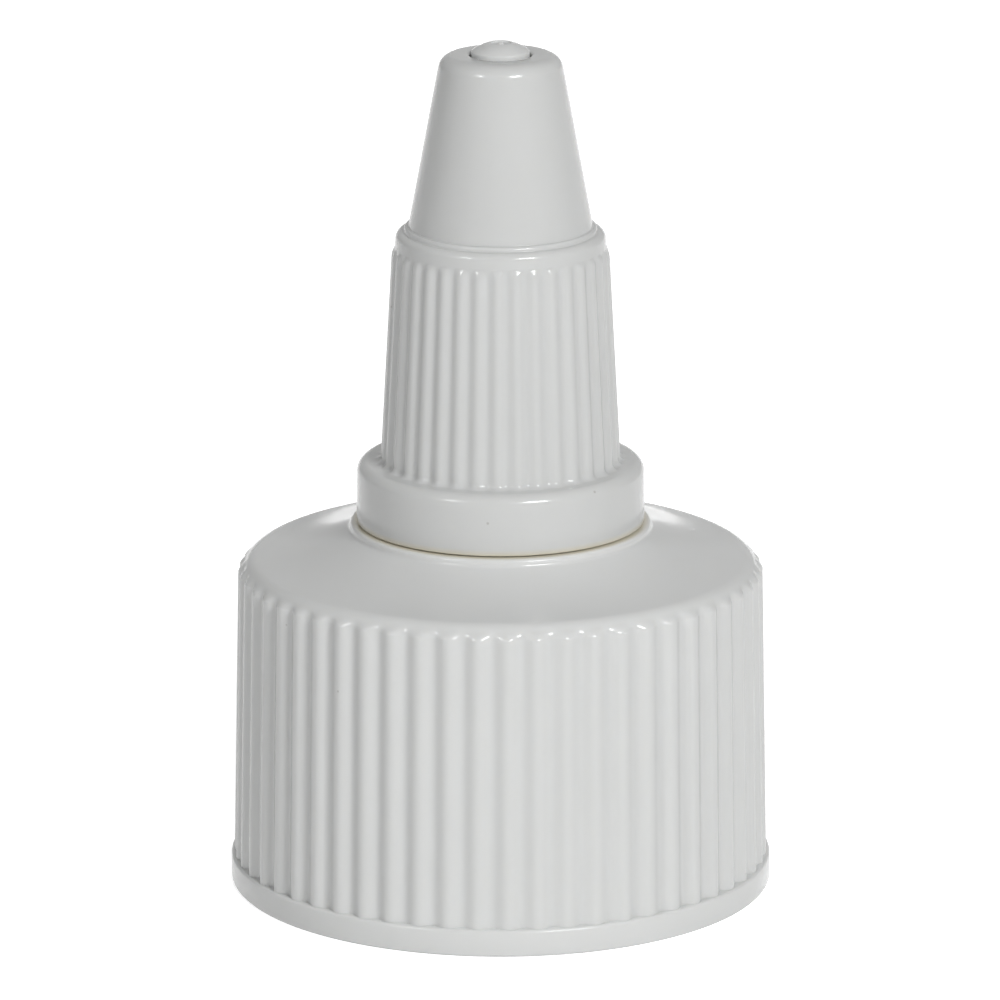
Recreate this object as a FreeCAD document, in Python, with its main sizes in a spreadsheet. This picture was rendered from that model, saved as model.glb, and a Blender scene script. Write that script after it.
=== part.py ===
import FreeCAD, Part
import os
from types import SimpleNamespace

import Sketcher

# Twist dispensing cap: a two-piece polypropylene closure for a 28 mm bottle neck.
# The base screws on the bottle and carries a hollow post with a domed pin at its tip.
# The nozzle is screwed on the post: twisted open, it rises off the pin and the orifice is free.
# Millimetres, +Z up, origin on the axis at the rim of the skirt. The cap is shown closed.

# Driving sizes: name, value in mm or a count, what it is.
SIZES = [
    ("bore_radius", 13.9, "inside of the skirt, clear of the neck's thread"),
    ("bore_length", 17.4, "bore from the rim to the land that seals on the neck"),
    ("skirt_wall", 1.14, "wall between bore and groove floor at the band"),
    ("skirt_draft", 0.3, "how much narrower the skirt is at the shoulder"),
    ("band_height", 1.56, "plain band at the rim"),
    ("band_stand", 0.18, "how far the band stands out from the ribs"),
    ("rib_depth", 0.38, "ribs above the groove floor"),
    ("rib_width", 1.16, "width of a rib at the groove floor"),
    ("rib_crest", 0.66, "width of a rib at its crest"),
    ("rib_root", 0.2, "how far a rib runs into the wall and the band"),
    ("rib_count", 56, "ribs around the skirt"),
    ("rib_below", 0.12, "ribs' ends below the foot of the shoulder's bevel"),
    ("crown_wall", 1.75, "wall above the sealing land at the shoulder's edge"),
    ("edge_drop", 0.45, "height of the bevel at the shoulder's edge"),
    ("edge_inset", 0.55, "width of that bevel"),
    ("shoulder_rise", 1.7, "rise of the shoulder from its edge to the pad"),
    ("flare_reach", 2.8, "where the shoulder grows steeper, outside the pad"),
    ("flare_rise", 1.2, "height of that steeper part"),
    ("pad_step", 0.42, "height of the pad above the shoulder"),
    ("pad_margin", 0.69, "pad outside the collar"),
    ("pad_edge", 0.2, "chamfer of the pad's edge"),
    ("recess_radius", 9.95, "hollow under the crown, inside the sealing land"),
    ("under_rise", 1.6, "underside of the crown above the land, in that hollow"),
    ("post_radius", 4.55, "post at the root of its thread"),
    ("post_length", 8.95, "post from the pad to the stop bead"),
    ("bead_stand", 0.4, "stop bead above the post"),
    ("bead_height", 0.3, "flat of the stop bead"),
    ("bead_lead", 0.15, "slope under the stop bead"),
    ("seal_radius", 4.15, "smooth cylinder that the nozzle wipes"),
    ("seal_length", 7.55, "length of that cylinder, above the stop bead"),
    ("flow_radius", 3.2, "flow bore through the post"),
    ("spoke_count", 3, "spokes that carry the pin"),
    ("spoke_width", 1.0, "thickness of a spoke"),
    ("spoke_height", 1.8, "height of a spoke"),
    ("spoke_drop", 0.2, "spokes below the post's mouth"),
    ("spoke_root", 0.5, "how far a spoke runs into the post's wall"),
    ("hub_radius", 1.6, "hub where the spokes meet"),
    ("stem_radius", 1.25, "pin stem between hub and head"),
    ("pin_radius", 1.66, "head of the pin"),
    ("pin_side", 1.7, "straight side of the head"),
    ("pin_stand", 0.2, "side of the head above the nozzle's tip"),
    ("dome_height", 0.57, "height of the pin's domed end"),
    ("seat_gap", 0.22, "gap between pad and collar when closed"),
    ("collar_ledge", 1.39, "collar outside the ribs of the grip"),
    ("collar_height", 3.35, "height of the collar"),
    ("collar_edge", 0.45, "chamfer of the collar's top edge"),
    ("collar_wall", 1.36, "wall of the collar"),
    ("collar_floor", 1.0, "wall between the collar's hollow and its top"),
    ("thread_gap", 0.6, "between the post and the nozzle's bore"),
    ("barrel_wall", 1.45, "wall of the barrel at the collar"),
    ("grip_depth", 0.27, "ribs of the grip above the groove floor"),
    ("grip_width", 0.76, "width of a grip rib at the groove floor"),
    ("grip_crest", 0.44, "width of a grip rib at its crest"),
    ("grip_count", 36, "ribs around the grip"),
    ("grip_length", 12.45, "ribs of the grip, from the collar"),
    ("grip_draft", 0.65, "how much narrower the barrel is at its top"),
    ("ring_height", 1.13, "plain ring above the ribs"),
    ("ring_edge", 0.3, "chamfer of the ring's edge"),
    ("ring_ledge", 0.63, "ledge from the ring in to the cone"),
    ("cone_length", 10.1, "height of the cone"),
    ("cone_draft", 1.88, "how much narrower the cone is at its tip"),
    ("tip_edge", 0.65, "chamfer of the tip"),
    ("orifice_edge", 0.12, "chamfer of the orifice's edge"),
    ("orifice_gap", 0.1, "running clearance between pin and orifice"),
    ("orifice_length", 1.2, "wall of the orifice along the axis"),
    ("cone_wall", 1.1, "wall of the cone at its tip"),
    ("seal_gap", 0.08, "running clearance of the wiping land"),
    ("land_drop", 6.2, "post's mouth above the foot of the wiping land"),
]


class Size:
    """A size held as a number and as the expression that ties a feature to the sheet."""

    def __init__(self, value, text):
        self.value = value
        self.text = text

    def joined(self, other, sign, value):
        """The size that the sign makes of this one and another."""
        return Size(value, "(%s %s %s)" % (self.text, sign, other.text))

    def __add__(self, other):
        return self.joined(other, "+", self.value + other.value)

    def __sub__(self, other):
        return self.joined(other, "-", self.value - other.value)

    def __mul__(self, other):
        return self.joined(other, "*", self.value * other.value)

    def __truediv__(self, other):
        return self.joined(other, "/", self.value / other.value)


ZERO = Size(0.0, "0")
TWO = Size(2.0, "2")

# Degrees of a whole turn
FULL_TURN = 360
# Radii or heights that differ by less, in mm, are taken as one
SAME = 1e-4
# The sketcher's numbers for the two ends of a line or arc
START = 1
END = 2

doc = FreeCAD.newDocument("twist_dispensing_cap")
sheet = doc.addObject("Spreadsheet::Sheet", "Sizes")
for row, (alias, value, note) in enumerate(SIZES, start=1):
    sheet.set("A%d" % row, alias)
    sheet.set("B%d" % row, str(value))
    sheet.set("C%d" % row, note)
    sheet.setAlias("B%d" % row, alias)
doc.recompute()
s = SimpleNamespace(**{alias: Size(float(value), "Sizes." + alias) for alias, value, note in SIZES})


def origin_feature(body, role):
    """The origin plane or axis of a body that has this role."""
    return [f for f in body.Origin.OriginFeatures if f.Role == role][0]


def add_sketch(body, name, role="XZ_Plane"):
    """A sketch on one of its body's own origin planes."""
    sketch = body.newObject("Sketcher::SketchObject", name)
    sketch.AttachmentSupport = (origin_feature(body, role), [""])
    sketch.MapMode = "FlatFace"
    return sketch


def pin_down(sketch, geometry, across, along):
    """Fixes the start of a line or arc at its two sizes from the sketch's origin."""
    for kind, size in (("DistanceX", across), ("DistanceY", along)):
        name = "%s_%d" % (kind, geometry)
        number = sketch.addConstraint(Sketcher.Constraint(kind, geometry, START, size.value))
        sketch.renameConstraint(number, name)
        sketch.setExpression("Constraints." + name, size.text)


def arc_side(start, end, radius):
    """The arc from start to end in a sketch that bends out of the material on its left."""
    chord = end - start
    left = FreeCAD.Vector(-chord.y, chord.x, 0).normalize()
    reach = (radius ** 2 - (chord.Length / 2) ** 2) ** 0.5
    centre = (start + end) / 2 + left * reach
    circle = Part.Circle(centre, FreeCAD.Vector(0, 0, 1), radius)
    return Part.ArcOfCircle(circle, circle.parameter(start), circle.parameter(end))


def section(body, name, corners, role="XZ_Plane"):
    """A closed sketch through the corners, with the material on the left.

    A corner is its distance from the axis and its height. Where the side to the next corner is an arc,
    its radius follows.
    """
    sketch = add_sketch(body, name, role)
    points = [FreeCAD.Vector(corner[0].value, corner[1].value, 0) for corner in corners]
    for i, corner in enumerate(corners):
        here = points[i]
        there = points[(i + 1) % len(points)]
        if len(corner) == 2:
            sketch.addGeometry(Part.LineSegment(here, there), False)
            continue
        radius = corner[2]
        sketch.addGeometry(arc_side(here, there, radius.value), False)
        number = sketch.addConstraint(Sketcher.Constraint("Radius", i, radius.value))
        sketch.renameConstraint(number, "Radius_%d" % i)
        sketch.setExpression("Constraints.Radius_%d" % i, radius.text)
    for i, corner in enumerate(corners):
        after = (i + 1) % len(corners)
        sketch.addConstraint(Sketcher.Constraint("Coincident", i, END, after, START))
        pin_down(sketch, i, corner[0], corner[1])
    return sketch


def revolve(body, name, sketch):
    """Turns a sketch once about its upright axis."""
    feature = body.newObject("PartDesign::Revolution", name)
    feature.Profile = sketch
    feature.ReferenceAxis = (sketch, ["V_Axis"])
    feature.Angle = FULL_TURN
    sketch.Visibility = False
    doc.recompute()
    return feature


def chamfer_ring(body, name, base, size, across, height):
    """A chamfer on the circular edge of the base that has this radius and height."""
    names = []
    for number, edge in enumerate(base.Shape.Edges, start=1):
        if not isinstance(edge.Curve, Part.Circle):
            continue
        near = abs(edge.Curve.Radius - across.value) < SAME
        if near and abs(edge.Curve.Center.z - height.value) < SAME:
            names.append("Edge%d" % number)
    if len(names) != 1:
        raise ValueError("%s: %d edges found" % (name, len(names)))
    feature = body.newObject("PartDesign::Chamfer", name)
    feature.Base = (base, names)
    feature.setExpression("Size", size.text)
    doc.recompute()
    return feature


def around(body, name, feature, count):
    """Repeats a feature evenly about the axis of the cap."""
    pattern = body.newObject("PartDesign::PolarPattern", name)
    pattern.Originals = [feature]
    pattern.Axis = (origin_feature(body, "Z_Axis"), [""])
    pattern.Angle = FULL_TURN
    pattern.setExpression("Occurrences", count.text)
    body.Tip = pattern
    doc.recompute()


def add_ribs(body, name, low, high, depth, width, crest, count):
    """Upright ribs with sloping flanks and a narrower crest, leaning with the wall's draft.

    low and high are the crest's foot and end: distance from the axis and height. The section is drawn
    across the first rib at its foot, on a plane that leans as the wall does, and runs into the wall.
    """
    lean = (low[0] - high[0]) / (high[1] - low[1])
    half_crest = crest / TWO
    half_root = width / TWO + (width - crest) / TWO * s.rib_root / depth
    root = low[0] - depth - s.rib_root
    sketch = section(body, name + "_section", [
        (root, ZERO - half_root),
        (low[0], ZERO - half_crest),
        (low[0], half_crest),
        (root, half_root),
    ], "XY_Plane")
    sketch.AttachmentOffset = FreeCAD.Placement(
        FreeCAD.Vector(0, 0, 0), FreeCAD.Rotation(FreeCAD.Vector(0, -1, 0), 1))
    sketch.setExpression("AttachmentOffset.Rotation.Angle", "atan(%s)" % lean.text)
    sketch.setExpression("AttachmentOffset.Base.z", (low[1] - low[0] * lean).text)
    sketch.Visibility = False
    rib = body.newObject("PartDesign::Pad", name + "_first")
    rib.Profile = sketch
    rib.setExpression("Length", (high[1] - low[1]).text)
    doc.recompute()
    around(body, name, rib, count)


# Radii that follow from the sizes, from the neck outwards
groove_low = s.bore_radius + s.skirt_wall
groove_top = groove_low - s.skirt_draft
crest_low = groove_low + s.rib_depth
crest_top = groove_top + s.rib_depth
band_radius = crest_low + s.band_stand
bead_radius = s.post_radius + s.bead_stand
orifice_radius = s.pin_radius + s.orifice_gap
nozzle_bore = s.post_radius + s.thread_gap
barrel_low = nozzle_bore + s.barrel_wall
barrel_top = barrel_low - s.grip_draft
grip_crest_low = barrel_low + s.grip_depth
grip_crest_top = barrel_top + s.grip_depth
collar_radius = grip_crest_low + s.collar_ledge
hollow_radius = collar_radius - s.collar_wall
pad_radius = collar_radius + s.pad_margin
cone_low = barrel_top - s.ring_ledge
cone_high = cone_low - s.cone_draft
wipe_radius = s.seal_radius + s.seal_gap
dome_radius = (s.pin_radius * s.pin_radius + s.dome_height * s.dome_height) / (TWO * s.dome_height)
tip_inside = cone_high - s.cone_wall + s.cone_draft * s.orifice_length / s.cone_length

# Heights that follow from the sizes, from the rim upwards
edge_height = s.bore_length + s.crown_wall
edge_foot = edge_height - s.edge_drop
shoulder_top = edge_height + s.shoulder_rise
pad_top = shoulder_top + s.pad_step
rib_crown = edge_foot - s.rib_below
underside = s.bore_length + s.under_rise
bead_foot = pad_top + s.post_length
bead_bottom = bead_foot + s.bead_lead
bead_top = bead_bottom + s.bead_height
post_top = bead_top + s.seal_length
spoke_top = post_top - s.spoke_drop
spoke_foot = spoke_top - s.spoke_height
collar_bottom = pad_top + s.seat_gap
collar_top = collar_bottom + s.collar_height
hollow_top = collar_top - s.collar_floor
grip_top = collar_top + s.grip_length
ring_top = grip_top + s.ring_height
tip_top = ring_top + s.cone_length
side_top = tip_top + s.pin_stand
head_foot = side_top - s.pin_side
pin_top = side_top + s.dome_height
orifice_foot = tip_top - s.orifice_length
land_foot = post_top - s.land_drop


def build_base():
    """Skirt, shoulder, pad, post, spokes and pin, moulded in one piece."""
    body = doc.addObject("PartDesign::Body", "closure_base")
    body.Label = "closure_base"
    profile = section(body, "base_section", [
        (band_radius, ZERO),
        (band_radius, s.band_height),
        (groove_low, s.band_height),
        (groove_top, edge_foot),
        (groove_top - s.edge_inset, edge_height),
        (pad_radius + s.flare_reach, shoulder_top - s.flare_rise),
        (pad_radius, shoulder_top),
        (pad_radius, pad_top),
        (s.post_radius, pad_top),
        (s.post_radius, bead_foot),
        (bead_radius, bead_bottom),
        (bead_radius, bead_top),
        (s.seal_radius, bead_top),
        (s.seal_radius, post_top),
        (s.flow_radius, post_top),
        (s.flow_radius, underside),
        (s.recess_radius, underside),
        (s.recess_radius, s.bore_length),
        (s.bore_radius, s.bore_length),
        (s.bore_radius, ZERO),
    ])
    shell = revolve(body, "base_shell", profile)
    chamfer_ring(body, "pad_edge", shell, s.pad_edge, pad_radius, pad_top)

    low = (crest_low, s.band_height - s.rib_root)
    high = (crest_top, rib_crown)
    add_ribs(body, "skirt_ribs", low, high, s.rib_depth, s.rib_width, s.rib_crest, s.rib_count)

    pin_profile = section(body, "pin_section", [
        (ZERO, spoke_foot),
        (s.hub_radius, spoke_foot),
        (s.hub_radius, spoke_top),
        (s.stem_radius, spoke_top),
        (s.stem_radius, head_foot),
        (s.pin_radius, head_foot),
        (s.pin_radius, side_top, dome_radius),
        (ZERO, pin_top),
    ])
    spoke_sketch = section(body, "spoke_section", [
        (ZERO, ZERO - s.spoke_width / TWO),
        (s.flow_radius + s.spoke_root, ZERO - s.spoke_width / TWO),
        (s.flow_radius + s.spoke_root, s.spoke_width / TWO),
        (ZERO, s.spoke_width / TWO),
    ], "XY_Plane")
    spoke_sketch.setExpression("AttachmentOffset.Base.z", spoke_foot.text)
    spoke = body.newObject("PartDesign::Pad", "spoke")
    spoke.Profile = spoke_sketch
    spoke.setExpression("Length", s.spoke_height.text)
    spoke_sketch.Visibility = False
    doc.recompute()
    around(body, "spokes", spoke, s.spoke_count)
    pin = revolve(body, "pin", pin_profile)
    body.Tip = pin
    return body


def build_nozzle():
    """Collar, ribbed grip, step ring and cone, moulded in one piece and hollow throughout."""
    body = doc.addObject("PartDesign::Body", "twist_nozzle")
    body.Label = "twist_nozzle"
    profile = section(body, "nozzle_section", [
        (collar_radius, collar_bottom),
        (collar_radius, collar_top),
        (barrel_low, collar_top),
        (barrel_top, ring_top),
        (cone_low, ring_top),
        (cone_high, tip_top),
        (orifice_radius, tip_top),
        (orifice_radius, orifice_foot),
        (tip_inside, orifice_foot),
        (wipe_radius, ring_top),
        (wipe_radius, land_foot),
        (nozzle_bore, land_foot),
        (nozzle_bore, hollow_top),
        (hollow_radius, hollow_top),
        (hollow_radius, collar_bottom),
    ])
    shell = revolve(body, "nozzle_shell", profile)
    collar = chamfer_ring(body, "collar_edge", shell, s.collar_edge, collar_radius, collar_top)
    ring = chamfer_ring(body, "ring_edge", collar, s.ring_edge, barrel_top, ring_top)
    tip = chamfer_ring(body, "tip_edge", ring, s.tip_edge, cone_high, tip_top)
    chamfer_ring(body, "orifice_edge", tip, s.orifice_edge, orifice_radius, tip_top)

    low = (grip_crest_low, collar_top - s.collar_floor / TWO)
    high = (grip_crest_top, grip_top)
    add_ribs(body, "grip_ribs", low, high, s.grip_depth, s.grip_width, s.grip_crest, s.grip_count)
    return body


def check(parts):
    """Stops if an object failed or a piece isn't one sound solid."""
    for item in doc.Objects:
        if "Invalid" in item.State or "Error" in item.State:
            raise ValueError("%s is in state %s" % (item.Name, item.State))
    for part in parts:
        shape = part.Shape
        if shape.isNull() or not shape.isValid() or len(shape.Solids) != 1:
            raise ValueError("%s isn't one valid solid" % part.Label)


pieces = [build_base(), build_nozzle()]
doc.recompute()
check(pieces)
os.makedirs("parts", exist_ok=True)
for piece in pieces:
    piece.Shape.exportStep("parts/%s.step" % piece.Label)
    box = piece.Shape.BoundBox
    print("%s: %.1f mm3, %d faces, radius %.3f, z %.3f to %.3f"
          % (piece.Label, piece.Shape.Volume, len(piece.Shape.Faces), box.XMax, box.ZMin, box.ZMax))
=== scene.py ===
import math

import bmesh
import bpy
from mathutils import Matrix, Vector


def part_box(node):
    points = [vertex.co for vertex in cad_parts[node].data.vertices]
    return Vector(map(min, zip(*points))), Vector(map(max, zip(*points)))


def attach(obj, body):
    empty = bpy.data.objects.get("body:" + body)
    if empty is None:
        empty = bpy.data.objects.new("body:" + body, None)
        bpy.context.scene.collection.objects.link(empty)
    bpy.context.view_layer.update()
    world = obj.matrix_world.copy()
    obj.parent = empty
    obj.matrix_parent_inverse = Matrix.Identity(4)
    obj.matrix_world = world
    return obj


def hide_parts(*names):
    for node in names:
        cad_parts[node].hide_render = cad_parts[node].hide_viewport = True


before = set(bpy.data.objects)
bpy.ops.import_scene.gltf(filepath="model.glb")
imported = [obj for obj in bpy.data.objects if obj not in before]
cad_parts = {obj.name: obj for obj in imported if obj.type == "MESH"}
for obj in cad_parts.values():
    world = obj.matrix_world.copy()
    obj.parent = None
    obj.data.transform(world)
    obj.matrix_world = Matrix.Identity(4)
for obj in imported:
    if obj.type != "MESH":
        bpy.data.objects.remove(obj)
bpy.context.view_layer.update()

# The skirt, shoulder and post.
# The base of the cap is one shot of white polypropylene: a skirt with 56 upright ribs and a plain band at
# its rim, a shoulder that sweeps up to a low round pad, and the hollow post that the nozzle turns on.

# Sizes are in millimetres, up from the rim and out from the axis. A hair is a step too small to show.
MM = 0.001
HAIR = 0.01
BASE_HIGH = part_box("closure_base")[1] / MM
BAND_RADIUS = BASE_HIGH.x
BAND_HEIGHT = 1.56
BAND_STAND = 0.18
BAND_ROUND = 0.16
RIB_COUNT = 56
RIB_STEPS = 10
RIB_BREADTH = 2.4
RIB_DEPTH = 0.33
RIB_TURN = 1.5
RIB_TIP = 0.8
RIB_CROWN = 18.8
RIB_FOOT = BAND_HEIGHT + HAIR
GROOVE_LOW = BAND_RADIUS - BAND_STAND - RIB_DEPTH
SKIRT_DRAFT = 0.3
GROOVE_HIGH = GROOVE_LOW - SKIRT_DRAFT
EDGE_HEIGHT = 19.04
EDGE_ROUND = 0.9
SHOULDER_START = (14.0, 19.18)
SHOULDER_HOLLOW = 17.0
SHOULDER_STEPS = 12
SHOULDER_TOP = 20.85
PAD_RADIUS = 8.64
PAD_TOP = 21.27
PAD_ROUND = 0.2
PAD_FILLET = 0.3
POST_RADIUS = 4.55
STOP_RADIUS = 4.95
STOP_FOOT = 30.22
STOP_LOW = 30.37
STOP_HIGH = 30.67
STOP_ROUND = 0.08
SEAL_RADIUS = 4.15
FLOW_RADIUS = 3.2
POST_TOP = 38.22
MOUTH_ROUND = 0.1
UNDERSIDE = 19.0
RECESS_RADIUS = 9.95
LAND_HEIGHT = 17.4
BORE_RADIUS = 13.9
SOFT_EDGE = 0.25
STEPS_PER_RADIAN = 9
SMALL_ROUND = 0.8
SHARP_ANGLE = 50


def rounded(corners):
    """An outline of (radius, height) through corners of (radius, height, rounding)."""
    points = []
    for i, (across, up, rounding) in enumerate(corners):
        here = Vector((across, up))
        if not rounding:
            points.append((across, up))
            continue
        back = (Vector(corners[i - 1][:2]) - here).normalized()
        ahead = (Vector(corners[(i + 1) % len(corners)][:2]) - here).normalized()
        half = back.angle(ahead) / 2
        middle = here + (back + ahead).normalized() * (rounding / math.sin(half))
        start = here + back * (rounding / math.tan(half)) - middle
        end = here + ahead * (rounding / math.tan(half)) - middle
        turn = math.copysign(math.pi - 2 * half, start.cross(end))
        steps = max(3, round(abs(turn) * STEPS_PER_RADIAN * min(1.0, rounding / SMALL_ROUND)))
        for step in range(steps + 1):
            angle = turn * step / steps
            x = middle.x + start.x * math.cos(angle) - start.y * math.sin(angle)
            y = middle.y + start.x * math.sin(angle) + start.y * math.cos(angle)
            points.append((x, y))
    return points


def hollow_arc(start, end, radius, steps):
    """Corners along an arc that bends into the material, from one point of the outline to another."""
    start, end = Vector(start), Vector(end)
    chord = end - start
    left = Vector((-chord.y, chord.x)).normalized()
    middle = (start + end) / 2 - left * math.sqrt(radius ** 2 - chord.length_squared / 4)
    first = math.atan2(start.y - middle.y, start.x - middle.x)
    last = math.atan2(end.y - middle.y, end.x - middle.x)
    angles = [first + (last - first) * step / steps for step in range(steps)]
    return [(middle.x + radius * math.cos(a), middle.y + radius * math.sin(a), 0) for a in angles]


def ribbed(outline, wall, foot, crown, tip, depth):
    """Adds the ribs' depth to the points of an outline that lie on a wall between two radii.

    The ribs start at the foot at full depth, and end below the crown in a round tip of the height given.
    """
    points = []
    for across, up in outline:
        stand = 0.0
        if wall[0] < across <= wall[1] and foot <= up < crown:
            rise = max(0.0, (up - crown + tip) / tip)
            stand = depth * (1 - rise ** 2)
        points.append((across, up, stand))
    return points


def rib_columns(count, turn):
    """Angles around a wall with soft ribs and how high the rib stands at each, from 0 to 1.

    The first rib is turned by so many degrees from the X axis. The crests are broader than the grooves.
    """
    columns = []
    for step in range(count * RIB_STEPS):
        height = 1 - abs(math.sin(math.pi * step / RIB_STEPS)) ** RIB_BREADTH
        columns.append((math.radians(turn + 360 * step / (count * RIB_STEPS)), height))
    return columns


def solid_from(name, points, faces):
    """An object with a smooth mesh that faces outwards. Sharp corners stay sharp and long walls flat."""
    mesh = bpy.data.meshes.new(name)
    mesh.from_pydata(points, [], faces)
    work = bmesh.new()
    work.from_mesh(mesh)
    bmesh.ops.remove_doubles(work, verts=work.verts, dist=1e-7)
    bmesh.ops.recalc_face_normals(work, faces=work.faces)
    for face in work.faces:
        face.smooth = True
    work.to_mesh(mesh)
    work.free()
    mesh.set_sharp_from_angle(angle=math.radians(SHARP_ANGLE))
    made = bpy.data.objects.new(name, mesh)
    bpy.context.scene.collection.objects.link(made)
    flat_walls = made.modifiers.new("flat_walls", "WEIGHTED_NORMAL")
    flat_walls.keep_sharp = True
    return made


def turned(name, outline, columns, closed=True):
    """A mesh turned about the axis from points of (radius, height, rib depth)."""
    points = []
    for across, up, depth in outline:
        for angle, height in columns:
            radius = (across + depth * height) * MM
            points.append((radius * math.cos(angle), radius * math.sin(angle), up * MM))
    rows, around = len(outline), len(columns)
    faces = []
    for i in range(rows if closed else rows - 1):
        low, high = i * around, (i + 1) % rows * around
        for j in range(around):
            after = (j + 1) % around
            faces.append((low + j, low + after, high + after, high + j))
    return solid_from(name, points, faces)


base_outline = rounded(
    [(BAND_RADIUS, 0.0, BAND_ROUND), (BAND_RADIUS, BAND_HEIGHT, BAND_ROUND), (GROOVE_LOW, BAND_HEIGHT, 0)]
    + [(GROOVE_LOW, RIB_FOOT, 0), (GROOVE_HIGH, EDGE_HEIGHT, EDGE_ROUND)]
    + hollow_arc(SHOULDER_START, (PAD_RADIUS, SHOULDER_TOP), SHOULDER_HOLLOW, SHOULDER_STEPS)
    + [(PAD_RADIUS, SHOULDER_TOP, PAD_FILLET), (PAD_RADIUS, PAD_TOP, PAD_ROUND)]
    + [(POST_RADIUS, PAD_TOP, SOFT_EDGE), (POST_RADIUS, STOP_FOOT, 0)]
    + [(STOP_RADIUS, STOP_LOW, STOP_ROUND), (STOP_RADIUS, STOP_HIGH, STOP_ROUND)]
    + [(SEAL_RADIUS, STOP_HIGH, 0), (SEAL_RADIUS, POST_TOP, SOFT_EDGE)]
    + [(FLOW_RADIUS, POST_TOP, MOUTH_ROUND), (FLOW_RADIUS, UNDERSIDE, SOFT_EDGE)]
    + [(RECESS_RADIUS, UNDERSIDE, SOFT_EDGE), (RECESS_RADIUS, LAND_HEIGHT, SOFT_EDGE)]
    + [(BORE_RADIUS, LAND_HEIGHT, SOFT_EDGE), (BORE_RADIUS, 0.0, SOFT_EDGE)]
)
skirt_wall = (BORE_RADIUS, GROOVE_LOW)
base_shell = turned("skirt_and_post",
                    ribbed(base_outline, skirt_wall, BAND_HEIGHT, RIB_CROWN, RIB_TIP, RIB_DEPTH),
                    rib_columns(RIB_COUNT, RIB_TURN))
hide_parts("closure_base")
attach(base_shell, "base")


def linear(hex_colour):
    """An sRGB hex colour as the linear RGBA that the shaders take."""
    parts = [int(hex_colour[i:i + 2], 16) / 255 for i in (1, 3, 5)]
    return [c / 12.92 if c <= 0.04045 else ((c + 0.055) / 1.055) ** 2.4 for c in parts] + [1.0]


def add_node(tree, kind, settings=(), links=()):
    """Adds a node, gives it its settings and links its inputs to other nodes' outputs."""
    made = tree.nodes.new(kind)
    for name, value in dict(settings).items():
        if isinstance(name, int) or name in made.inputs:
            made.inputs[name].default_value = value
        else:
            setattr(made, name, value)
    for name, source in dict(links).items():
        tree.links.new(source, made.inputs[name])
    return made


# Polypropylene is milky just below its skin, so edges and thin ribs look soft. A polished mould leaves a
# wet-looking gloss that waves a little where the wall shrank as it cooled. The narrow gap under the collar
# is painted a darker, warm beige: painted shade in the gap, with the warm light that has gone round
# through the plastic and comes out there. A few faint specks of burnt resin, up to 0.2 mm across, lie in
# the skin.
BASE_LIGHT = "#D8D9D8"
BASE_DARK = "#D4D5D4"
CLOUD_SIZE = 7.0
# Painted shade and warm light for the gap under the collar, mixed into the colour close to its ring.
SEAM_PAINTED_LIGHT = "#CFC4A2"
SEAM_RADIUS = 8.2
SEAM_HEIGHT = 21.3
SEAM_NEAR = 0.12
SEAM_FAR = 0.42
SEAM_PAINT_STRENGTH = 0.5
SPECK_COLOUR = "#6E655A"
SPECK_SPACING = 3.0
SPECK_CORE = 0.06
SPECK_EDGE = 0.099
SPECK_STRENGTH = 0.3
EMPTY_CELLS = 0.7
WAVE_SIZE = 5.0
WAVE_DEPTH = 0.02
ROUGHNESS_LOW = 0.15
ROUGHNESS_HIGH = 0.19
MILKY_DEPTH = 0.8


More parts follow.
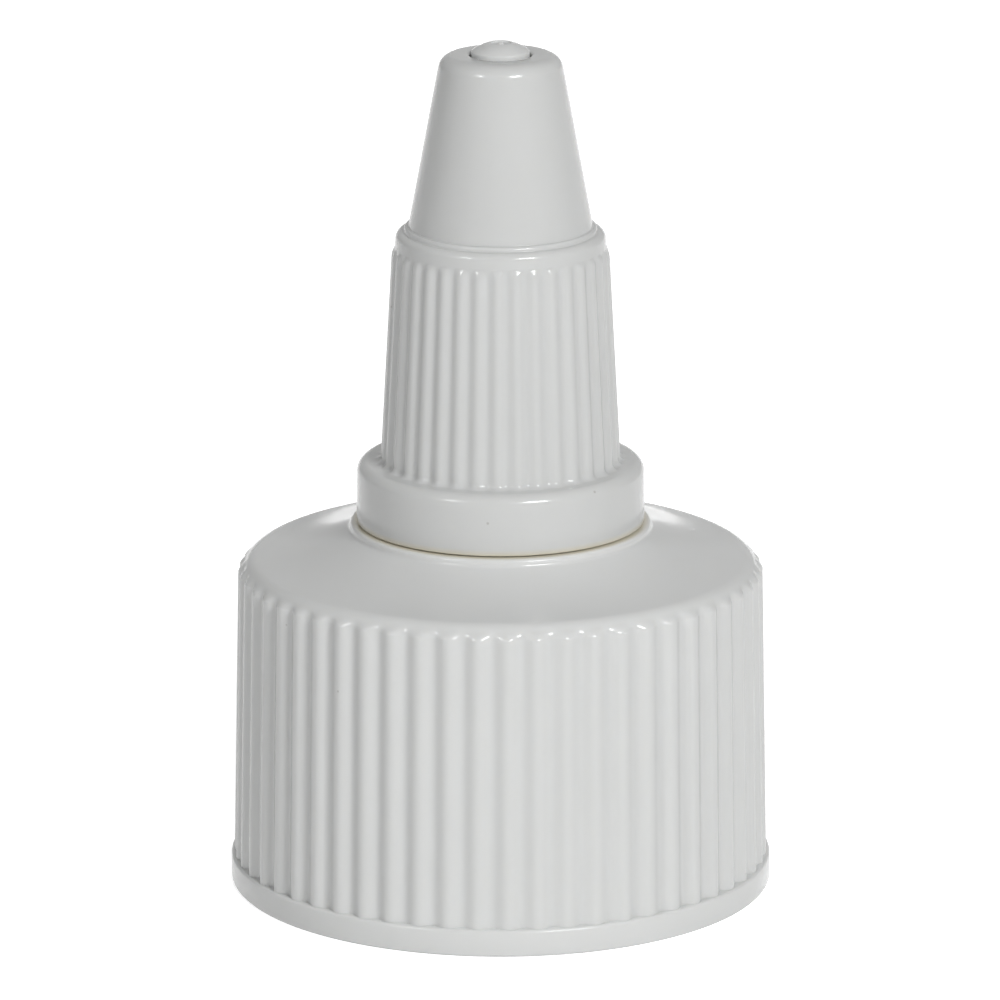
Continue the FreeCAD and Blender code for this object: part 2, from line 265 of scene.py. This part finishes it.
def moulded_polypropylene(name, light, dark):
    """The white plastic of both pieces, in two tones that lie next to each other in slow clouds."""
    material = bpy.data.materials.new(name)
    material.use_nodes = True
    tree = material.node_tree
    shader = tree.nodes["Principled BSDF"]
    place = add_node(tree, "ShaderNodeTexCoord").outputs["Object"]

    # The two tones
    cloud = add_node(tree, "ShaderNodeTexNoise", {"Scale": 1 / (CLOUD_SIZE * MM), "Detail": 2.0},
                     {"Vector": place})
    tint = add_node(tree, "ShaderNodeMix", {"data_type": "RGBA", 6: linear(dark), 7: linear(light)},
                    {0: cloud.outputs["Fac"]})

    # The painted shade and warm light of the gap, by the distance from its ring in the plane of radius and
    # height
    flat = add_node(tree, "ShaderNodeVectorMath", {"operation": "MULTIPLY", 1: (1, 1, 0)}, {0: place})
    across = add_node(tree, "ShaderNodeVectorMath", {"operation": "LENGTH"}, {0: flat.outputs["Vector"]})
    up = add_node(tree, "ShaderNodeSeparateXYZ", (), {0: place})
    spot = add_node(tree, "ShaderNodeCombineXYZ", (), {0: across.outputs["Value"], 1: up.outputs["Z"]})
    away = add_node(tree, "ShaderNodeVectorMath",
                    {"operation": "DISTANCE", 1: (SEAM_RADIUS * MM, SEAM_HEIGHT * MM, 0)},
                    {0: spot.outputs["Vector"]})
    seam_paint_mask = add_node(tree, "ShaderNodeMapRange",
                      {"From Min": SEAM_NEAR * MM, "From Max": SEAM_FAR * MM,
                       "To Min": SEAM_PAINT_STRENGTH, "To Max": 0.0},
                      {"Value": away.outputs["Value"]})
    warm = add_node(tree, "ShaderNodeMix", {"data_type": "RGBA", 7: linear(SEAM_PAINTED_LIGHT)},
                    {0: seam_paint_mask.outputs["Result"], 6: tint.outputs[2]})

    # The specks, which fade to their edge and are missing from most of the cells
    grains = add_node(tree, "ShaderNodeTexVoronoi", {"Scale": 1 / (SPECK_SPACING * MM)},
                      {"Vector": place})
    chance = add_node(tree, "ShaderNodeSeparateColor", (), {0: grains.outputs["Color"]})
    rare = add_node(tree, "ShaderNodeMath", {"operation": "GREATER_THAN", 1: EMPTY_CELLS},
                    {0: chance.outputs["Red"]})
    speck = add_node(tree, "ShaderNodeMapRange",
                     {"From Min": SPECK_CORE / SPECK_SPACING, "From Max": SPECK_EDGE / SPECK_SPACING,
                      "To Min": SPECK_STRENGTH, "To Max": 0.0},
                     {"Value": grains.outputs["Distance"]})
    burnt = add_node(tree, "ShaderNodeMath", {"operation": "MULTIPLY"},
                     {0: rare.outputs[0], 1: speck.outputs["Result"]})
    colour = add_node(tree, "ShaderNodeMix", {"data_type": "RGBA", 7: linear(SPECK_COLOUR)},
                      {0: burnt.outputs[0], 6: warm.outputs[2]})

    # The waves, in the gloss and in the slope of the skin
    wave = add_node(tree, "ShaderNodeTexNoise", {"Scale": 1 / (WAVE_SIZE * MM), "Detail": 1.0},
                    {"Vector": place})
    rough = add_node(tree, "ShaderNodeMapRange",
                     {"From Min": 0.3, "From Max": 0.7, "To Min": ROUGHNESS_LOW, "To Max": ROUGHNESS_HIGH},
                     {"Value": wave.outputs["Fac"]})
    shrink = add_node(tree, "ShaderNodeBump", {"Strength": 0.3, "Distance": WAVE_DEPTH * MM},
                      {"Height": wave.outputs["Fac"]})

    tree.links.new(colour.outputs[2], shader.inputs["Base Color"])
    tree.links.new(rough.outputs["Result"], shader.inputs["Roughness"])
    tree.links.new(shrink.outputs["Normal"], shader.inputs["Normal"])
    shader.inputs["IOR"].default_value = 1.49
    shader.inputs["Specular IOR Level"].default_value = 0.36
    shader.inputs["Subsurface Weight"].default_value = 0.3
    shader.inputs["Subsurface Radius"].default_value = (1.0, 0.95, 0.85)
    shader.inputs["Subsurface Scale"].default_value = MILKY_DEPTH * MM
    return material


base_white = moulded_polypropylene("moulded_polypropylene_base", BASE_LIGHT, BASE_DARK)
base_shell.data.materials.append(base_white)

# The pin.
# Three spokes in the post's mouth carry it, in the same shot as the base. Its domed head plugs the
# orifice of the closed nozzle, and shows a round scar with a nub where the plastic entered the mould.
PIN_TOP = BASE_HIGH.z
PIN_RADIUS = 1.66
PIN_SIDE = 48.72
HEAD_FOOT = 47.02
DOME_HEIGHT = PIN_TOP - PIN_SIDE
STEM_RADIUS = 1.25
HUB_RADIUS = 1.6
SPOKE_LOW = 36.22
SPOKE_HIGH = 38.02
SPOKE_COUNT = 3
SPOKE_WIDTH = 1.0
SPOKE_START = 1.0
SPOKE_REACH = 3.6
SPOKE_ROUND = 0.2
PIN_ROUND = 0.1
PIN_COLUMNS = 96
DOME_ROUND = 0.08
SCAR_RADIUS = 0.62
SCAR_DEPTH = 0.12
SCAR_SLOPE = 0.08
SCAR_ROUND = 0.02
SCAR_FILLET = 0.04
NUB_FOOT = 0.2
NUB_TIP = 0.1
NUB_FILLET = 0.05
NUB_ROUND = 0.04
DOME_STEPS = 14
SCAR_STEPS = 5

dome_radius = (PIN_RADIUS ** 2 + DOME_HEIGHT ** 2) / (2 * DOME_HEIGHT)
dome_edge = math.acos(1 - DOME_HEIGHT / dome_radius)
dome_angles = [dome_edge * k / DOME_STEPS for k in range(DOME_STEPS - 1, SCAR_STEPS, -1)]
dome = [(dome_radius * math.sin(a), PIN_TOP - dome_radius * (1 - math.cos(a)), 0) for a in dome_angles]
scar_rim = PIN_TOP - dome_radius + math.sqrt(dome_radius ** 2 - SCAR_RADIUS ** 2)
scar_floor = scar_rim - SCAR_DEPTH
pin_outline = rounded(
    [(0.0, SPOKE_LOW, 0), (HUB_RADIUS, SPOKE_LOW, PIN_ROUND), (HUB_RADIUS, SPOKE_HIGH, PIN_ROUND)]
    + [(STEM_RADIUS, SPOKE_HIGH, PIN_ROUND), (STEM_RADIUS, HEAD_FOOT, PIN_ROUND)]
    + [(PIN_RADIUS, HEAD_FOOT, PIN_ROUND), (PIN_RADIUS, PIN_SIDE, DOME_ROUND)] + dome
    + [(SCAR_RADIUS, scar_rim, SCAR_ROUND), (SCAR_RADIUS - SCAR_SLOPE, scar_floor, SCAR_FILLET)]
    + [(NUB_FOOT, scar_floor, NUB_FILLET), (NUB_TIP, scar_rim, NUB_ROUND), (0.0, scar_rim, 0)]
)
plain_columns = [(2 * math.pi * k / PIN_COLUMNS, 0.0) for k in range(PIN_COLUMNS)]
pin = turned("pin", [(across, up, 0.0) for across, up in pin_outline], plain_columns, closed=False)

spoke_side = SPOKE_WIDTH / 2
spoke_shape = rounded([(spoke_side, SPOKE_LOW, SPOKE_ROUND), (spoke_side, SPOKE_HIGH, SPOKE_ROUND),
                       (-spoke_side, SPOKE_HIGH, SPOKE_ROUND), (-spoke_side, SPOKE_LOW, SPOKE_ROUND)])
spoke_points = []
spoke_faces = []
for number in range(SPOKE_COUNT):
    turn = 2 * math.pi * number / SPOKE_COUNT
    first = len(spoke_points)
    size = len(spoke_shape)
    for reach in (SPOKE_START, SPOKE_REACH):
        for side, up in spoke_shape:
            spoke_points.append(((reach * math.cos(turn) - side * math.sin(turn)) * MM,
                                 (reach * math.sin(turn) + side * math.cos(turn)) * MM, up * MM))
    for k in range(size):
        after = (k + 1) % size
        spoke_faces.append((first + k, first + after, first + size + after, first + size + k))
    spoke_faces.append([first + k for k in range(size)])
    spoke_faces.append([first + size + k for k in range(size)])
spokes = solid_from("spokes", spoke_points, spoke_faces)
for piece in (pin, spokes):
    piece.data.materials.append(base_white)
    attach(piece, "base")

# The nozzle.
# One shot of the same polypropylene: a smooth collar, a barrel with 36 fine grip ribs, a step ring and a
# long cone with a wall of even thickness. It screws on the post inside.
# The nozzle's two tones are painted shade: the base's white made a little darker, as less light falls on
# the nozzle.
NOZZLE_SHADED_LIGHT = "#CFD0CF"
NOZZLE_SHADED_DARK = "#CBCCCB"
NOZZLE_LOW, NOZZLE_HIGH = [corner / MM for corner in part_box("twist_nozzle")]
COLLAR_RADIUS = NOZZLE_HIGH.x
COLLAR_DROP = 0.14
COLLAR_BOTTOM = NOZZLE_LOW.z - COLLAR_DROP
COLLAR_TOP = 24.84
COLLAR_DRAFT = 0.05
COLLAR_ROUND = 0.62
COLLAR_WALL = 1.36
LIP_ROUND = 0.08
HOLLOW_RADIUS = COLLAR_RADIUS - COLLAR_WALL
HOLLOW_TOP = 23.84
HOLLOW_ROUND = 0.2
INNER_ROUND = 0.1
BARREL_LOW = 6.7
BARREL_HIGH = 5.96
BARREL_FILLET = 0.35
GRIP_COUNT = 36
GRIP_DEPTH = 0.17
GRIP_TURN = -1.6
GRIP_TIP = 0.6
GRIP_TIP_ROWS = 5
GRIP_CROWN = 37.4
GRIP_END = GRIP_CROWN + 0.06
RING_TOP = 38.3
RING_ROUND = 0.42
LEDGE_RISE = 0.02
LEDGE_ROUND = 0.05
STEP_RADIUS = 5.48
STEP_TOP = 38.6
STEP_ROUND = 0.16
CONE_FOOT = 5.24
CONE_FILLET = 0.06
CONE_HIGH = 3.41
TIP_TOP = NOZZLE_HIGH.z
TIP_ROUND = 0.85
ORIFICE_RADIUS = 1.76
ORIFICE_ROUND = 0.12
ORIFICE_FOOT = 47.32
TIP_INSIDE = 2.56
WIPE_RADIUS = 4.23
WIPE_FOOT = 32.02
WIPE_ROUND = 0.2
NOZZLE_BORE = 5.15

grip_rows = [GRIP_CROWN - GRIP_TIP * k / GRIP_TIP_ROWS for k in range(GRIP_TIP_ROWS, -1, -1)]
nozzle_outline = rounded(
    [(COLLAR_RADIUS, COLLAR_BOTTOM, LIP_ROUND), (COLLAR_RADIUS - COLLAR_DRAFT, COLLAR_TOP, COLLAR_ROUND)]
    + [(BARREL_LOW, COLLAR_TOP, BARREL_FILLET)]
    + [(BARREL_LOW + (BARREL_HIGH - BARREL_LOW) * (up - COLLAR_TOP) / (RING_TOP - COLLAR_TOP), up, 0)
       for up in grip_rows + [GRIP_END]]
    + [(BARREL_HIGH, RING_TOP, RING_ROUND)]
    + [(STEP_RADIUS + LEDGE_RISE, RING_TOP + LEDGE_RISE, LEDGE_ROUND)]
    + [(STEP_RADIUS, STEP_TOP, STEP_ROUND), (CONE_FOOT, STEP_TOP, CONE_FILLET)]
    + [(CONE_HIGH, TIP_TOP, TIP_ROUND), (ORIFICE_RADIUS, TIP_TOP, ORIFICE_ROUND)]
    + [(ORIFICE_RADIUS, ORIFICE_FOOT, 0), (TIP_INSIDE, ORIFICE_FOOT, SOFT_EDGE)]
    + [(WIPE_RADIUS, RING_TOP, 0), (WIPE_RADIUS, WIPE_FOOT, WIPE_ROUND)]
    + [(NOZZLE_BORE, WIPE_FOOT, SOFT_EDGE), (NOZZLE_BORE, HOLLOW_TOP, INNER_ROUND)]
    + [(HOLLOW_RADIUS, HOLLOW_TOP, HOLLOW_ROUND), (HOLLOW_RADIUS, COLLAR_BOTTOM, INNER_ROUND)]
)
barrel_wall = (BARREL_HIGH, BARREL_LOW + BARREL_FILLET + HAIR)
nozzle = turned("nozzle_shell",
                ribbed(nozzle_outline, barrel_wall, COLLAR_TOP, GRIP_CROWN, GRIP_TIP, GRIP_DEPTH),
                rib_columns(GRIP_COUNT, GRIP_TURN))
nozzle_white = moulded_polypropylene("moulded_polypropylene_nozzle", NOZZLE_SHADED_LIGHT, NOZZLE_SHADED_DARK)
nozzle.data.materials.append(nozzle_white)
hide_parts("twist_nozzle")
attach(nozzle, "nozzle")

# The threads.
# Each is moulded with its wall: one bead in the skirt for the bottle's neck, and the two-start thread of
# the post that lifts the nozzle 6 mm a turn, with two short beads in the nozzle that run in it.
BEAD_SHAPE = [(-1.0, -0.2), (-0.62, 0.6), (-0.42, 0.92), (0.0, 1.0), (0.42, 0.92), (0.62, 0.6), (1.0, -0.2)]
BEAD_STEPS = 96
FADE_TURN = 0.07
FADED = 0.02
NECK_CREST = 13.05
NECK_BEAD = 1.9
NECK_FOOT = 4.4
NECK_LEAD = 4.23
NECK_TURNS = 1.5
LIFT_LEAD = 6.0
POST_CREST = 4.93
POST_BEAD = 1.3
POST_FOOT = 22.2
POST_TURNS = 1.25
NOZZLE_CREST = 4.77
NOZZLE_BEAD = 1.0
NOZZLE_FOOT = 24.9
NOZZLE_TURNS = 0.28
NOZZLE_START = math.radians(72)
HALF_TURN = math.pi


def thread_bead(name, wall, crest, width, foot, lead, turns, start):
    """A bead that winds up a round wall from its foot and fades into the wall at both ends.

    It rises by the lead in each turn, and stands up from the radius of the wall to that of the crest.
    """
    steps = round(turns * BEAD_STEPS)
    size = len(BEAD_SHAPE)
    points = []
    faces = []
    for step in range(steps + 1):
        turn = turns * step / steps
        angle = start + 2 * math.pi * turn
        fade = max(FADED, min(1.0, turn / FADE_TURN, (turns - turn) / FADE_TURN))
        for place, rise in BEAD_SHAPE:
            radius = (wall + (crest - wall) * rise * fade) * MM
            up = (foot + lead * turn + place * width / 2) * MM
            points.append((radius * math.cos(angle), radius * math.sin(angle), up))
    for step in range(steps):
        for k in range(size):
            after = (k + 1) % size
            low = step * size
            faces.append((low + k, low + after, low + size + after, low + size + k))
    faces.append(list(range(size)))
    faces.append([steps * size + k for k in range(size)])
    return solid_from(name, points, faces)


beads = [(thread_bead("neck_thread", BORE_RADIUS, NECK_CREST, NECK_BEAD, NECK_FOOT, NECK_LEAD,
                      NECK_TURNS, 0.0), "base")]
for start, letter in ((0.0, "a"), (HALF_TURN, "b")):
    beads.append((thread_bead("post_thread_" + letter, POST_RADIUS, POST_CREST, POST_BEAD, POST_FOOT,
                              LIFT_LEAD, POST_TURNS, start), "base"))
for start, letter in ((NOZZLE_START, "a"), (NOZZLE_START + HALF_TURN, "b")):
    beads.append((thread_bead("nozzle_thread_" + letter, NOZZLE_BORE, NOZZLE_CREST, NOZZLE_BEAD,
                              NOZZLE_FOOT, LIFT_LEAD, NOZZLE_TURNS, start), "nozzle"))
for bead, body in beads:
    bead.data.materials.append(base_white if body == "base" else nozzle_white)
    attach(bead, body)

# The table and the lamps.
# A white sheet under the cap, two soft boxes in front of it at either side of the lens, a third without
# gloss that fills its back, and a pale tent all round. The sheet and the backdrop get their white from a
# glow that only the camera, gloss and glass see.
SHEET_REACH = 1500.0
SHEET_COLOUR = "#EBEBEB"
GLOW_COLOUR = "#FFFFFF"
SHEET_GLOW = 0.72
TENT_GLOW = 0.155
BACKDROP_GLOW = 0.65
LAMP_DISTANCE = 600.0
LAMP_AIM = 25.0

far = SHEET_REACH * MM
sheet_mesh = bpy.data.meshes.new("table")
sheet_mesh.from_pydata([(-far, -far, 0), (far, -far, 0), (far, far, 0), (-far, far, 0)], [], [(0, 1, 2, 3)])
table = bpy.data.objects.new("table", sheet_mesh)
bpy.context.scene.collection.objects.link(table)


def seen_straight(tree):
    """1 for the rays that show the background itself: those of the camera, of gloss and through glass."""
    rays = add_node(tree, "ShaderNodeLightPath")
    shown = add_node(tree, "ShaderNodeMath", {"operation": "MAXIMUM"},
                     {0: rays.outputs["Is Camera Ray"], 1: rays.outputs["Is Glossy Ray"]})
    return add_node(tree, "ShaderNodeMath", {"operation": "MAXIMUM"},
                    {0: shown.outputs[0], 1: rays.outputs["Is Transmission Ray"]}).outputs[0]


paper = bpy.data.materials.new("white_sheet")
paper.use_nodes = True
tree = paper.node_tree
sheet_face = tree.nodes["Principled BSDF"]
sheet_face.inputs["Base Color"].default_value = linear(SHEET_COLOUR)
sheet_face.inputs["Roughness"].default_value = 0.8
glow = add_node(tree, "ShaderNodeEmission", {"Color": linear(GLOW_COLOUR), "Strength": SHEET_GLOW})
both = add_node(tree, "ShaderNodeAddShader", (), {0: sheet_face.outputs[0], 1: glow.outputs[0]})
shown = add_node(tree, "ShaderNodeMixShader", (), {0: seen_straight(tree), 1: sheet_face.outputs[0],
                                                   2: both.outputs[0]})
tree.links.new(shown.outputs[0], tree.nodes["Material Output"].inputs["Surface"])
table.data.materials.append(paper)

world = bpy.data.worlds.new("tent")
bpy.context.scene.world = world
world.use_nodes = True
tree = world.node_tree
tent = tree.nodes["Background"]
tent.inputs["Color"].default_value = linear(GLOW_COLOUR)
tent.inputs["Strength"].default_value = TENT_GLOW
backdrop = add_node(tree, "ShaderNodeBackground", {"Color": linear(GLOW_COLOUR), "Strength": BACKDROP_GLOW})
chosen = add_node(tree, "ShaderNodeMixShader", (), {0: seen_straight(tree), 1: tent.outputs[0],
                                                    2: backdrop.outputs[0]})
tree.links.new(chosen.outputs[0], tree.nodes["World Output"].inputs["Surface"])


def soft_box(name, azimuth, elevation, size, power, mirrored=True):
    """A flat lamp that faces the middle of the cap.

    The azimuth goes round from the front to the right. A lamp that isn't mirrored adds no gloss.
    """
    lamp = bpy.data.lights.new(name, "AREA")
    lamp.shape = "RECTANGLE"
    lamp.size, lamp.size_y = [side * MM for side in size]
    lamp.energy = power
    made = bpy.data.objects.new(name, lamp)
    around, up = math.radians(azimuth), math.radians(elevation)
    back = Vector((math.sin(around) * math.cos(up), -math.cos(around) * math.cos(up), math.sin(up)))
    made.location = back * LAMP_DISTANCE * MM + Vector((0, 0, LAMP_AIM * MM))
    made.rotation_euler = back.to_track_quat("Z", "Y").to_euler()
    made.visible_glossy = mirrored
    bpy.context.scene.collection.objects.link(made)


soft_box("left_box", azimuth=-41, elevation=31, size=(140, 120), power=0.7)
soft_box("right_box", azimuth=30, elevation=31, size=(190, 120), power=2.3)
soft_box("white_card", azimuth=180, elevation=6, size=(100, 100), power=1.5, mirrored=False)

# The camera.
# A long lens a little above the cap, looking at its front.
CAMERA_DISTANCE = 450.0
CAMERA_HEIGHT = 146.1
CAMERA_TILT = 15.37
FOCAL_LENGTH = 292.9
FRAME_WIDTH = 36.0
FRAME_SHIFT = -0.0006

long_lens = bpy.data.cameras.new("long_lens")
long_lens.lens = FOCAL_LENGTH
long_lens.sensor_width = FRAME_WIDTH
long_lens.shift_x = FRAME_SHIFT
long_lens.clip_start = 0.01
long_lens.clip_end = 10.0
camera = bpy.data.objects.new("camera", long_lens)
camera.location = (0.0, -CAMERA_DISTANCE * MM, CAMERA_HEIGHT * MM)
camera.rotation_euler = (math.radians(90.0 - CAMERA_TILT), 0.0, 0.0)
bpy.context.scene.collection.objects.link(camera)
bpy.context.scene.camera = camera
bpy.context.scene.view_settings.view_transform = "Standard"
